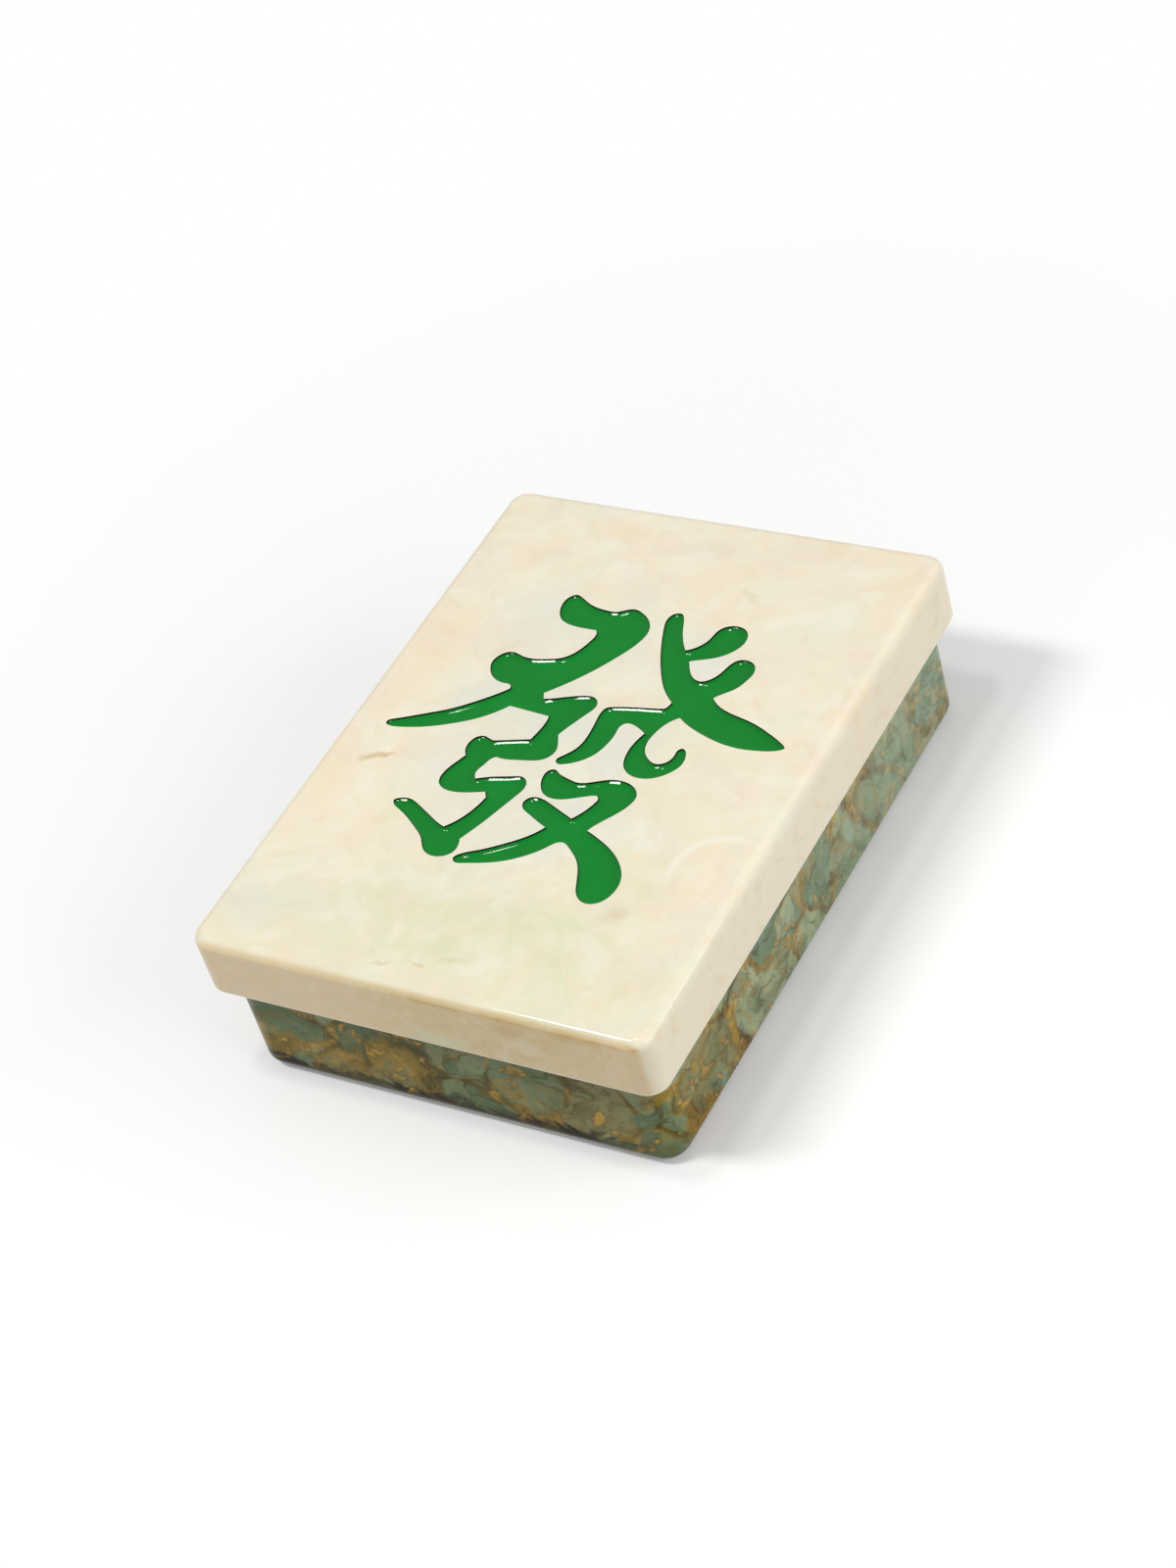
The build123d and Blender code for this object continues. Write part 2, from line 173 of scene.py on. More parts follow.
class Finish:
    """A material on the principled shader, with its pattern worked out in millimetres."""

    def __init__(self, name):
        self.material = bpy.data.materials.new(name)
        self.material.use_nodes = True
        self.tree = self.material.node_tree
        self.shader = self.tree.nodes["Principled BSDF"]
        place = self.node("ShaderNodeTexCoord").outputs["Object"]
        self.point = self.vector("SCALE", place, Scale=1 / MM)

    def node(self, kind, settings=(), inputs=()):
        return add_node(self.tree, kind, settings, inputs)

    def math(self, operation, first, second=0.0):
        node = self.node("ShaderNodeMath", {"operation": operation}, {0: first, 1: second})
        return Number(self, node.outputs[0])

    def vector(self, operation, first, second=(0, 0, 0), **named):
        settings = {"operation": operation}
        node = self.node("ShaderNodeVectorMath", settings, {0: first, 1: second, **named})
        return node.outputs["Vector"]

    def length(self, vector):
        node = self.node("ShaderNodeVectorMath", {"operation": "LENGTH"}, {0: vector})
        return Number(self, node.outputs["Value"])

    def axis(self, vector, name):
        node = self.node("ShaderNodeSeparateXYZ", (), {0: vector})
        return Number(self, node.outputs[name])

    def step(self, value, low, high):
        """A smooth step from 0 at low to 1 at high. It falls where low is above high."""
        inputs = {"Value": value, "From Min": low, "From Max": high}
        node = self.node("ShaderNodeMapRange", {"interpolation_type": "SMOOTHSTEP"}, inputs)
        return Number(self, node.outputs[0])

    def mix(self, share, first, second):
        """The first colour, going over to the second as the share goes from 0 to 1."""
        inputs = {0: share, 6: first, 7: second}
        return self.node("ShaderNodeMix", {"data_type": "RGBA"}, inputs).outputs[2]

    def noise(self, point, size, detail=2.0, roughness=0.5, output="Fac"):
        """Cloudy noise whose lumps are about the size given, in millimetres."""
        inputs = {"Vector": point, "Scale": 1 / size, "Detail": detail, "Roughness": roughness}
        socket = self.node("ShaderNodeTexNoise", (), inputs).outputs[output]
        return Number(self, socket) if output == "Fac" else socket

    def warped(self, point, size, reach):
        """The point pushed about by noise, by up to about half the reach each way."""
        push = self.vector("SUBTRACT", self.noise(point, size, output="Color"), (0.5, 0.5, 0.5))
        return self.vector("ADD", point, self.vector("SCALE", push, Scale=reach))

    def cells(self, point, size, feature, output):
        """Cells like pebbles, about the size given: their own colours, or a distance in them."""
        inputs = {"Vector": point, "Scale": 1 / size}
        socket = self.node("ShaderNodeTexVoronoi", {"feature": feature}, inputs).outputs[output]
        return Number(self, socket) if output == "Distance" else socket

    def turned(self, point, degrees, stretch):
        """The point turned back by degrees about X, Y and Z, then divided by a stretch each way.

        A pattern read there looks stretched first and then turned by those degrees.
        """
        settings = {"vector_type": "TEXTURE"}
        inputs = {"Vector": point, "Rotation": np.radians(degrees).tolist(), "Scale": stretch}
        return self.node("ShaderNodeMapping", settings, inputs).outputs[0]

    def patch(self, point, centre, half, soft):
        """1 in an ellipse about the centre, falling to 0 over its outer, soft share."""
        away = self.vector("DIVIDE", self.vector("SUBTRACT", point, centre), half)
        return self.step(self.length(away), 1.0, 1.0 - soft)

    def cloud(self, point, x, y, half_x, half_y):
        """A soft patch in the lid's face, a little larger than its half sizes."""
        return self.patch(point, (x, y, LID_TOP), (half_x * 1.3, half_y * 1.3, 30), 0.9)

    def bump(self, height, distance):
        """Relief as deep as the distance, in millimetres, where the height goes from 0 to 1."""
        inputs = {"Height": height, "Distance": distance * MM, "Strength": 1.0}
        return self.node("ShaderNodeBump", (), inputs).outputs[0]

    def paint(self, **sockets):
        """Links or sets the shader's own sockets, and gives the finished material."""
        for name, value in sockets.items():
            feed(self.tree, self.shader.inputs[name.replace("_", " ")], value)
        return self.material


CREAM = srgb(243, 235, 211)
PEACH = srgb(244, 230, 202)
BLUSH = srgb(241, 228, 208)
APRICOT = srgb(244, 222, 184)
CHALK = srgb(229, 228, 211)
MILK = srgb(219, 226, 217)
SAGE = srgb(219, 223, 183)
TAN = srgb(230, 213, 178)
HONEY = srgb(200, 160, 92)
WALL_TAN = srgb(241, 227, 199)
# The short walls' tans: partly the resin's own tan, partly painted shade on the front and back
# walls
END_TAN_AND_SHADE = srgb(238, 213, 166)
END_DEEP_AND_SHADE = srgb(222, 196, 140)
# Pale cream for pale mottling and a shell's arc, and as the painted reflection along the lid's
# lower edge
PALE_AND_EDGE_REFLECTION = srgb(250, 247, 234)
# The pockets' walls: enamel green darkened to near black, painted shade
POCKET_GREEN_SHADE = srgb(6, 30, 12)

LID_TOP = cad_high.z / MM
LID_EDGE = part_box("lid_shell")[0].z / MM

# Clouds in the lid's face: the centre and half sizes, and how strong they are
# Sage clouds are olive tint; the widest, at (0, -135), is painted shade that darkens the face
# towards the front, and the broad one at (14, -112) partly so
SAGE_AND_SHADE_CLOUDS = [(49, -101, 13, 9, 0.35), (55, -128, 14, 9, 0.4), (1, -126, 16, 12, 0.3),
               (14, -112, 96, 36, 0.5), (-16, -106, 26, 20, 0.2), (60, -64, 28, 30, 0.3),
               (60, 0, 24, 40, 0.3), (-60, -62, 16, 14, 0.3), (0, -135, 150, 80, 0.4)]
CHALK_CLOUDS = [(-36, 4, 34, 40, 0.7), (16, -26, 30, 34, 0.7), (44, 66, 24, 22, 0.6),
                (-18, -74, 24, 26, 0.6), (98, -32, 14, 9, 0.6), (-70, -118, 30, 18, 0.3),
                (-4, 0, 70, 90, 0.55)]
APRICOT_CLOUDS = [(-104, -37, 10, 22, 0.8), (-98, 40, 16, 50, 0.45), (108, 60, 9, 16, 0.9),
                  (66, 141, 30, 11, 0.6), (-42, 139, 30, 10, 0.45), (94, -58, 13, 13, 0.6),
                  (-2, 32, 12, 10, 0.5), (92, -122, 22, 20, 0.3), (98, 104, 16, 30, 0.35)]
MILK_CLOUDS = [(-52, 66, 22, 30, 0.35), (-16, 62, 20, 22, 0.35), (30, 66, 22, 26, 0.35),
               (-18, 10, 30, 22, 0.4), (26, 6, 24, 22, 0.35), (-30, -42, 34, 22, 0.4),
               (16, -44, 26, 22, 0.35), (-58, 22, 20, 20, 0.4), (-84, -118, 26, 16, 0.3)]

# Small marks in the lid's face: the centre, half length and width, turn and strength
TAN_FLECKS = [(-83, -29, 9, 1.9, 14, 0.6), (-90, -32, 4, 2.0, 30, 0.4),
              (58, 28, 7, 2.5, -30, 0.25), (66, -87, 7, 5, 20, 0.25),
              (-18, -138, 6, 1.0, 20, 0.35), (-3, -135, 6, 1.0, -14, 0.35),
              (36, 104, 8, 2, -40, 0.2), (-96, -102, 9, 1.5, 20, 0.1),
              (-62, 46, 10, 2, 50, 0.15), (12, -129, 9, 1.5, 20, 0.2)]

# A shell's arc in the lid's face
SHELL_CENTRE = (97, -56)
SHELL_RADIUS = 20.0

# Stains in the lid's front wall: the centre along X and up, the half sizes and the strength
HONEY_STAINS = [(50, 78, 12, 6, 0.5), (38, 64, 6, 5, 0.3), (104, 72, 6, 20, 0.1),
                (72, 80, 14, 4, 0.3)]
FRONT_WALL = -150

# How far out the short walls' colour starts and is full, and where the figure's pockets lie:
# within the two half sizes, and above a level just below their floors
SHORT_WALL = (147.5, 149.5)
FIGURE_HALF = (104, 140)
POCKET_LEVEL = 82


def lid_clouds(finish, flowing, feather):
    """Cream with drifts of peach, blush and chalk, the clouds of the tables, and mottling."""
    clouds = finish.noise(finish.turned(flowing, (0, -30, 38), (1.5, 1.0, 1.0)), 20, 3, 0.5)
    blush = finish.noise(flowing, 30, 3, 0.55)
    colour = finish.mix(finish.step(clouds, 0.44, 0.62) * 0.8, CREAM, PEACH)
    colour = finish.mix(finish.step(blush, 0.48, 0.62) * 0.7, colour, BLUSH)
    colour = finish.mix(finish.step(clouds, 0.46, 0.32) * 0.25, colour, CHALK)
    for table, tint in ((APRICOT_CLOUDS, APRICOT), (CHALK_CLOUDS, CHALK), (SAGE_AND_SHADE_CLOUDS, SAGE)):
        for x, y, half_x, half_y, strength in table:
            share = finish.cloud(flowing, x, y, half_x, half_y)
            colour = finish.mix(share * (feather * 0.6 + 0.4) * strength, colour, tint)

    mottle = finish.noise(finish.turned(flowing, (0, -20, 38), (1.8, 1.0, 1.0)), 14, 2, 0.5)
    colour = finish.mix(finish.step(mottle, 0.50, 0.68) * 0.24, colour, PALE_AND_EDGE_REFLECTION)
    return finish.mix(finish.step(mottle, 0.46, 0.30) * 0.12, colour, TAN)


def lid_marks(finish, flowing, colour):
    """Milky clouds among the figure's strokes, a few tan flecks, and the arc of a shell."""
    for x, y, half_x, half_y, strength in MILK_CLOUDS:
        share = finish.cloud(flowing, x, y, half_x, half_y)
        colour = finish.mix(share * strength, colour, MILK)
    for x, y, half_x, half_y, turn, strength in TAN_FLECKS:
        away = finish.vector("SUBTRACT", finish.warped(finish.point, 5, 6), (x, y, LID_TOP))
        away = finish.turned(away, (0, 0, turn), (1, 1, 1))
        fleck = finish.patch(away, (0, 0, 0), (half_x * 1.3, half_y * 1.5, 5), 0.95)
        colour = finish.mix(fleck * strength, colour, HONEY)

    # the arc shows along the shell's upper left side only
    warped = finish.warped(finish.point, 24, 7)
    away = finish.vector("SUBTRACT", warped, (*SHELL_CENTRE, LID_TOP))
    flat_away = finish.vector("MULTIPLY", away, (1, 1, 0))
    off_arc = finish.math("ABSOLUTE", finish.length(flat_away) - SHELL_RADIUS)
    upper_left = finish.step(finish.axis(away, "Y") - finish.axis(away, "X"), 6, 22)
    on_top = finish.step(finish.axis(finish.point, "Z"), LID_TOP - 4, LID_TOP - 1)
    arc = finish.step(off_arc, 3.6, 0.2) * upper_left * on_top
    return finish.mix(arc * 0.45, colour, PALE_AND_EDGE_REFLECTION)


def lid_walls(finish, flowing, feather, wisps, colour):
    """Walls deeper in colour, the short ones most, partly as painted shade, with honey stains and
    a pale band along the lower edge that is a painted reflection.
    """
    point = finish.point
    height = finish.axis(point, "Z")
    aside = finish.axis(point, "X")
    wall = finish.step(height, LID_TOP - 3, LID_TOP - 7)
    colour = finish.mix(wall * 0.7, colour, WALL_TAN)
    short_wall = finish.step(finish.math("ABSOLUTE", finish.axis(point, "Y")), *SHORT_WALL)
    # painted shade with some real tan: the short walls are darkened, most from the middle to the
    # right, less at the near corner
    deep = finish.step(aside, -70, 30) - finish.step(aside, 70, 104) * 0.5
    end_tan_and_shade = finish.mix(deep, END_TAN_AND_SHADE, END_DEEP_AND_SHADE)
    colour = finish.mix(short_wall * (feather * 0.25 + 0.7), colour, end_tan_and_shade)
    colour = finish.mix(wall * finish.step(wisps, 0.50, 0.70) * 0.5, colour, TAN)
    colour = finish.mix(wall * finish.step(wisps, 0.46, 0.30) * 0.3, colour, CREAM)

    # a honey line just under the top, and stains and a green tint in the front wall
    line = finish.patch(finish.warped(point, 30, 1.6), (0, 0, LID_TOP - 4.2), (900, 900, 1.5), 0.9)
    line = line * finish.step(aside, -16, 12) * short_wall
    colour = finish.mix(line * (feather * 0.4 + 0.35), colour, HONEY)
    for x, z, half_x, half_z, strength in HONEY_STAINS:
        stain = finish.patch(flowing, (x, FRONT_WALL, z), (half_x * 1.2, 20, half_z * 1.2), 0.95)
        colour = finish.mix(stain * strength * short_wall, colour, HONEY)
    tint = finish.patch(flowing, (4, FRONT_WALL, LID_EDGE + 6), (30, 30, 12), 0.9)
    colour = finish.mix(tint * 0.8, colour, SAGE)
    # painted reflection: a pale band on the rounded lower edge, as if it mirrored the white floor
    edge_reflection = finish.step(height, LID_EDGE + 2.4, LID_EDGE + 1.4)
    return finish.mix(edge_reflection * 0.9, colour, PALE_AND_EDGE_REFLECTION)


def lid_resin():
    """Ivory resin: softly clouded and wispy, deeper in its walls partly as painted shade, with
    buffed round edges and a painted reflection along the lower edge.
    """
    finish = Finish("lid_resin")
    point = finish.point
    flowing = finish.warped(finish.warped(point, 70, 50), 16, 12)
    feather = finish.step(finish.noise(flowing, 9, 4, 0.6), 0.36, 0.66)
    wisps = finish.noise(finish.turned(flowing, (0, -37, -40), (3.4, 1.0, 1.0)), 8, 3, 0.5)
    colour = lid_clouds(finish, flowing, feather)
    colour = finish.mix(finish.step(wisps, 0.54, 0.72) * 0.25, colour, TAN)
    colour = lid_marks(finish, flowing, colour)
    colour = lid_walls(finish, flowing, feather, wisps, colour)

    # enamel left on the walls of the figure's pockets, which face sideways inside the outline,
    # painted near black as their shade
    normal = finish.node("ShaderNodeNewGeometry").outputs["Normal"]
    level = finish.math("ABSOLUTE", finish.axis(normal, "Z"))
    pocket = finish.step(level, 0.7, 0.5)
    for name, half in zip("XY", FIGURE_HALF):
        away = finish.math("ABSOLUTE", finish.axis(point, name))
        pocket = pocket * finish.step(away, half, half - 1)
    pocket = pocket * finish.step(finish.axis(point, "Z"), POCKET_LEVEL, POCKET_LEVEL + 1)
    colour = finish.mix(pocket, colour, POCKET_GREEN_SHADE)

    # the rounded edges are buffed brighter than the broad face
    face = finish.step(level, 0.96, 0.995)
    roughness = finish.noise(flowing, 9, 3) * 0.06 + face * 0.12 + 0.05
    ripple = finish.noise(point, 9, 2)
    return finish.paint(Base_Color=colour, Roughness=roughness, Specular_IOR_Level=0.40,
                        Normal=finish.bump(ripple, 0.03))


DEEP_JADE = srgb(106, 128, 96)
JADE = srgb(138, 153, 116)
PALE_JADE = srgb(170, 178, 138)
TEAL = srgb(134, 158, 136)
SAND = srgb(156, 138, 88)
OCHRE = srgb(164, 132, 48)
GOLD = srgb(226, 176, 82)
BRONZE = srgb(110, 86, 34)
UMBER = srgb(70, 46, 16)
# Umber for the foot, partly streaks in the resin and partly painted shade
FOOT_UMBER_AND_SHADE = srgb(28, 20, 6)
# Moss veil at the front end, partly olive resin and partly painted shade
MOSS_AND_SHADE = srgb(84, 96, 34)
MIST = srgb(182, 198, 174)

OVAL_JADE = srgb(150, 172, 142)
OVAL_CENTRE = (104, 32, 27)
OVAL_HALF = (6.0, 4.2, 8.0)

# The jade pieces, large then small: their spacing, how far they reach, and the share shown
PIECES = [(34.0, 0.65, 1.0), (17.0, 0.5, 0.45)]


def jade_pieces(finish, place, size, reach, share, grain):
    """Rounded jade pieces, toned and veined, with gilt rims: their colour, and where they lie.

    The third value is a broken brown line that runs round them.
    """
    drift, veins, patchy = grain
    look = finish.cells(place, size, "F1", "Color")
    away = finish.cells(place, size, "F1", "Distance") + (drift - 0.5) * 0.45
    edge = finish.cells(place, size, "DISTANCE_TO_EDGE", "Distance")
    tone, kind, shown = (finish.axis(look, name) for name in "XYZ")
    body = finish.mix(finish.step(tone + drift, 0.62, 1.15), DEEP_JADE, JADE)
    body = finish.mix(finish.step(tone + drift, 1.0, 1.4), body, PALE_JADE)
    body = finish.mix(finish.step(kind + drift * 0.5, 0.88, 1.04) * 0.75, body, SAND)
    body = finish.mix(finish.step(veins, 0.52, 0.70) * 0.4, body, PALE_JADE)
    body = finish.mix(finish.step(veins, 0.46, 0.30) * 0.4, body, BRONZE)
    rim = finish.step(away, reach - 0.18, reach) * finish.step(patchy, 0.40, 0.60)
    body = finish.mix(rim * 0.6, body, finish.mix(finish.step(drift, 0.42, 0.6), OCHRE, GOLD))
    inside = finish.step(away, reach + 0.05, reach - 0.05) * finish.step(edge, 0.02, 0.09)
    inside = inside * finish.step(shown, share + 0.03, share - 0.03)
    line = finish.step(finish.math("ABSOLUTE", away - reach), 0.07, 0.0)
    line = line * finish.step(patchy, 0.52, 0.40)
    return body, inside, line


def base_resin():
    """Marbled resin: rounded jade pieces set in bronze and ochre, with gold flecks between."""
    finish = Finish("base_resin")
    point = finish.point
    flowing = finish.warped(finish.warped(point, 46, 40), 14, 10)
    drift = finish.noise(finish.turned(flowing, (30, 20, 30), (1, 1, 2.2)), 9, 4, 0.6)
    haze = finish.noise(flowing, 26, 3, 0.55)
    patchy = finish.noise(point, 17, 2)
    veins = finish.noise(finish.turned(flowing, (0, -35, -40), (2.2, 1, 1)), 6, 4, 0.6)

    # the setting between the pieces: bronze and ochre, golden or umber in places
    glow = haze + drift * 0.6
    colour = finish.mix(finish.step(drift, 0.36, 0.60), BRONZE, OCHRE)
    colour = finish.mix(finish.step(glow, 0.84, 1.04) * 0.7, colour, GOLD)
    colour = finish.mix(finish.step(glow, 0.76, 0.60) * 0.7, colour, UMBER)

    for number, (size, reach, share) in enumerate(PIECES):
        turn = (25 + 40 * number, -22, 16 + 35 * number)
        place = finish.turned(flowing, turn, (1.0, 1.0, 1.5))
        grain = drift, veins, patchy
        body, inside, line = jade_pieces(finish, place, size, reach, share, grain)
        colour = finish.mix(inside, colour, body)
        colour = finish.mix(line * 0.6, colour, UMBER)

    # folds that run aslant through it all, teal on their light side and umber on the other
    folds = finish.noise(finish.turned(flowing, (0, -35, -40), (2.6, 1, 1)), 11, 3, 0.5)
    colour = finish.mix(finish.step(folds, 0.53, 0.68) * 0.4, colour, TEAL)
    colour = finish.mix(finish.step(folds, 0.46, 0.32) * 0.4, colour, UMBER)

    # ochre smoke, and gold flecks in clusters, brightest at the front, each with a brown edge of
    # painted shade
    smoke = finish.noise(finish.turned(flowing, (20, -30, 40), (1, 1, 2.6)), 12, 4, 0.6)
    colour = finish.mix(finish.step(smoke, 0.54, 0.72) * 0.55, colour, OCHRE)
    front_end = finish.step(finish.axis(point, "Y"), -120, -141)
    bent = finish.warped(point, 9, 8)
    spots = finish.noise(finish.turned(bent, (0, -34, -40), (2.4, 1, 1)), 6.5, 2, 0.5)
    fleck = spots + finish.step(patchy, 0.46, 0.58) * 0.13
    colour = finish.mix(finish.step(fleck, 0.63, 0.70) * 0.45, colour, UMBER)
    colour = finish.mix(finish.step(fleck, 0.67, 0.81) * (front_end * 0.45 + 0.5), colour, GOLD)

    # one pale oval piece with an ochre rim
    oval = finish.vector("SUBTRACT", finish.warped(point, 7, 3), OVAL_CENTRE)
    oval = finish.turned(oval, (8, 0, 0), (1, 1, 1))
    around = finish.length(finish.vector("DIVIDE", oval, OVAL_HALF))
    colour = finish.mix(finish.step(around, 1.5, 1.1) * 0.5, colour, OCHRE)
    colour = finish.mix(finish.step(around, 1.12, 0.80) * 0.9, colour, OVAL_JADE)

    # paler and bluer towards the back of the long sides; at the front end a moss veil, partly
    # olive resin and partly painted shade
    far = finish.step(finish.axis(point, "Y"), -130, 120)
    colour = finish.mix(far * (finish.step(veins, 0.36, 0.60) * 0.22 + 0.2), colour, MIST)
    colour = finish.mix(front_end * 0.3, colour, MOSS_AND_SHADE)

    # dark along the foot, most of all in front, as far as short of the right corner: partly umber
    # streaks, partly painted shade under the rounded bottom edge
    streaks = finish.noise(finish.turned(flowing, (0, 0, 0), (12, 12, 3)), 1.0, 3, 0.6)
    foot = finish.step(finish.axis(point, "Z") - (streaks - 0.5) * 22, 14, 9)
    short_of_corner = finish.step(finish.axis(point, "X"), 98, 70)
    foot = foot * (front_end * short_of_corner * 0.7 + finish.step(haze, 0.46, 0.60) * 0.25)
    colour = finish.mix(foot, colour, FOOT_UMBER_AND_SHADE)

    ripple = finish.noise(point, 9, 2)
    return finish.paint(Base_Color=colour, Roughness=finish.noise(flowing, 9, 3) * 0.12 + 0.16,
                        Specular_IOR_Level=0.10, Normal=finish.bump(ripple, 0.03))


ENAMEL_GREEN = srgb(0, 134, 40)
ENAMEL_DEEP = srgb(0, 118, 34)
ENAMEL_RIM_SHADE = srgb(8, 44, 16)


def enamel():
    """Glossy green, a little uneven in depth, deeper towards the rim, and darkened near the top of
    its climb up the pocket's wall as painted shade.
    """
    finish = Finish("green_enamel")
    point = finish.point
    uneven = finish.step(finish.noise(point, 24, 3), 0.3, 0.7)
    colour = finish.mix(uneven * 0.4, ENAMEL_GREEN, ENAMEL_DEEP)
    climb = finish.node("ShaderNodeAttribute", {"attribute_name": "climb"}).outputs["Fac"]
    climb = Number(finish, climb)
    colour = finish.mix(finish.step(climb, 0.15, 0.6) * 0.5, colour, ENAMEL_DEEP)
    # painted shade: the top of the enamel's climb up the wall is darkened
    colour = finish.mix(finish.step(climb, 0.80, 0.97) * 0.7, colour, ENAMEL_RIM_SHADE)
    ripple = finish.noise(point, 9, 2)
    return finish.paint(Base_Color=colour, Roughness=0.06, Specular_IOR_Level=0.36,
                        Normal=finish.bump(ripple, 0.02))


FELT_GREEN = srgb(34, 104, 58)
FELT_SHADE = srgb(16, 66, 36)


def felt():
    """Deep green wool felt: matted fibres, with a soft sheen and a slightly worn, uneven nap."""
    finish = Finish("felt")
    point = finish.point
    fibres = finish.noise(finish.warped(point, 1.4, 1.6), 0.35, 4, 0.7)
    nap = finish.noise(point, 18, 3)
    colour = finish.mix(finish.step(fibres, 0.35, 0.7), FELT_SHADE, FELT_GREEN)
    colour = finish.mix(finish.step(nap, 0.35, 0.7) * 0.25, colour, FELT_SHADE)
    return finish.paint(Base_Color=colour, Roughness=0.95, Sheen_Weight=0.2,
                        Sheen_Roughness=0.5, Normal=finish.bump(fibres, 0.25))


ACRYLIC = srgb(232, 222, 196)
ACRYLIC_CLOUD = srgb(240, 233, 214)


def acrylic():
    """Ivory sheet plastic, faintly clouded, with a satin face."""
    finish = Finish("ivory_acrylic")
    point = finish.point
    clouds = finish.noise(finish.warped(point, 30, 20), 22, 3, 0.55)
    colour = finish.mix(finish.step(clouds, 0.4, 0.65), ACRYLIC, ACRYLIC_CLOUD)
    scuffs = finish.noise(finish.turned(point, (0, 0, 20), (30, 0.5, 0.5)), 1.0, 2)
    return finish.paint(Base_Color=colour, Roughness=finish.step(scuffs, 0.4, 0.8) * 0.15 + 0.28,
                        Coat_Weight=0.3, Coat_Roughness=0.1, Normal=finish.bump(clouds, 0.02))


RUBBER = srgb(40, 40, 38)
RUBBER_DUST = srgb(84, 82, 76)


def rubber():
    """Dark soft rubber, finely pitted and a little dusty."""
    finish = Finish("soft_rubber")
    point = finish.point
    pits = finish.noise(point, 0.5, 3, 0.6)
    dust = finish.step(finish.noise(point, 4, 3), 0.45, 0.75)
    colour = finish.mix(dust * 0.4, RUBBER, RUBBER_DUST)
    return finish.paint(Base_Color=colour, Roughness=0.75, Normal=finish.bump(pits, 0.06))


# --- Stage --------------------------------------------------------------------------------------

def shown_ray(finish):
    """1 for the rays that show a thing: seen straight, in a reflection or through glass."""
    path = finish.node("ShaderNodeLightPath").outputs
    seen = finish.math("MAXIMUM", Number(finish, path["Is Camera Ray"]),
                       Number(finish, path["Is Glossy Ray"]))
    return finish.math("MAXIMUM", seen, Number(finish, path["Is Transmission Ray"]))


def make_floor():
    """A pale floor that keeps the soft shadow and is plain white away from the case."""
    half = FLOOR_SIZE * MM / 2
    mesh = bpy.data.meshes.new("floor")
    corners = [(-half, -half, 0), (half, -half, 0), (half, half, 0), (-half, half, 0)]
    mesh.from_pydata(corners, [], [(0, 1, 2, 3)])
    floor = bpy.data.objects.new("floor", mesh)
    bpy.context.scene.collection.objects.link(floor)

    finish = Finish("pale_floor")
    shown = shown_ray(finish)
    colour = finish.mix(shown, FLOOR_GREY, WHITE)
    finish.paint(Base_Color=colour, Roughness=1.0, Specular_IOR_Level=0.0)
    white = finish.node("ShaderNodeEmission", (), {"Color": WHITE, "Strength": 1.0})
    near = finish.step(finish.length(finish.point), WHITE_FROM, LIT_WITHIN)
    share = shown * (1 - near * FLOOR_SHARE_LIT)
    inputs = {0: share, 1: finish.shader.outputs[0], 2: white.outputs[0]}
    mixed = finish.node("ShaderNodeMixShader", (), inputs)
    feed(finish.tree, finish.tree.nodes["Material Output"].inputs["Surface"], mixed.outputs[0])
    mesh.materials.append(finish.material)


def make_world():
    """A world that is seen as white and lights the case less strongly."""
    world = bpy.data.worlds.new("white_room")
    world.use_nodes = True
    bpy.context.scene.world = world
    tree = world.node_tree
    seen = add_node(tree, "ShaderNodeLightPath").outputs["Is Camera Ray"]
    inputs = {"Value": seen, "To Min": WORLD_STRENGTH}
    strength = add_node(tree, "ShaderNodeMapRange", (), inputs).outputs[0]
    background = tree.nodes["Background"]
    feed(tree, background.inputs["Strength"], strength)
    feed(tree, background.inputs["Color"], WHITE)


# --- Pieces -------------------------------------------------------------------------------------

def add_piece(name, vertices, faces, material, body, smooth=True):
    """A mesh in metres, in the case's frame, that rides on a body.

    Smooth is one answer for all its faces, or one for each.
    """
    mesh = bpy.data.meshes.new(name)
    mesh.from_pydata(np.asarray(vertices).tolist(), [], faces)
    mesh.polygons.foreach_set("use_smooth", np.full(len(faces), smooth))
    mesh.materials.append(material)
    mesh.update()
    piece = bpy.data.objects.new(name, mesh)
    bpy.context.scene.collection.objects.link(piece)
    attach(piece, body)
    return piece


# The enamel's mesh: its step, and how far in from the rim its rows lie. A row's point is kept
# at no less than a share of its distance, and the grid stays a share of a step clear of the rows.
ENAMEL_STEP = 0.42
ENAMEL_ROWS = (0.12, 0.28, 0.48, 0.74, 1.04, 1.38, 1.76, 2.18)
ROW_SHARE = 0.93
GRID_CLEARANCE = 0.6

# Points are measured a batch at a time. Outline corners that agree to WELD are one point. The
# triangulation keeps what is inside its loop, and takes nearer points than the last for one.
BATCH = 400
WELD = 0.001
KEEP_INSIDE = 1
MERGE_WITHIN = 1e-6

# The enamel's face: the depth of its middle, the reach of the wall's lift, and its rim's slope,
# width and softness. It settles in so many rounds at most, or when what is left is small enough.
ENAMEL_DIP = 2.1
ENAMEL_REACH = 1.2
RIM_SLOPE = 0.72
RIM_WIDTH = 1.7
RIM_SOFTNESS = 0.55
SETTLING_ROUNDS = 200
SETTLED_ENOUGH = 1e-10


